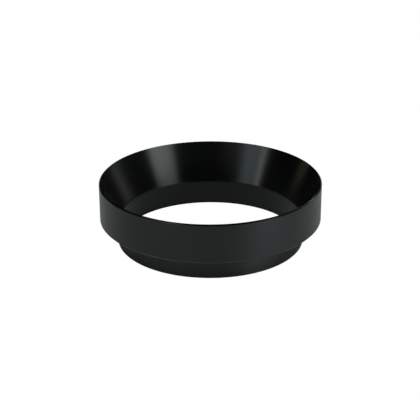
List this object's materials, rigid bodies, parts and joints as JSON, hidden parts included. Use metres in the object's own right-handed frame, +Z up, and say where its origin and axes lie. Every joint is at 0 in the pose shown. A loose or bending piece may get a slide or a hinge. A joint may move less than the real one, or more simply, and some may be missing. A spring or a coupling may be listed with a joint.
{
  "type": "snoot",
  "caption": "Short flared ring snoot: a straight outer band with a conical mouth above a thin plain neck, held by disc magnets in its shoulder.",
  "frame": {"origin": "on the ring's axis, at the lower end of the neck, which is the surface that the ring stands on", "axes": "+Z up along the ring's axis, out of the wide mouth; the first magnet is on +X"},
  "size_m": [0.07, 0.07, 0.02],
  "materials": {
    "black_anodised": "black anodised over fine turning marks, satin",
    "magnet_nickel": "bright nickel plating"
  },
  "bodies": {
    "root": {"flared_ring": "black_anodised", "magnet_1": "magnet_nickel", "magnet_2": "magnet_nickel", "magnet_3": "magnet_nickel", "magnet_4": "magnet_nickel", "magnet_5": "magnet_nickel", "magnet_6": "magnet_nickel", "magnet_7": "magnet_nickel", "magnet_8": "magnet_nickel"}
  },
  "joints": []
}
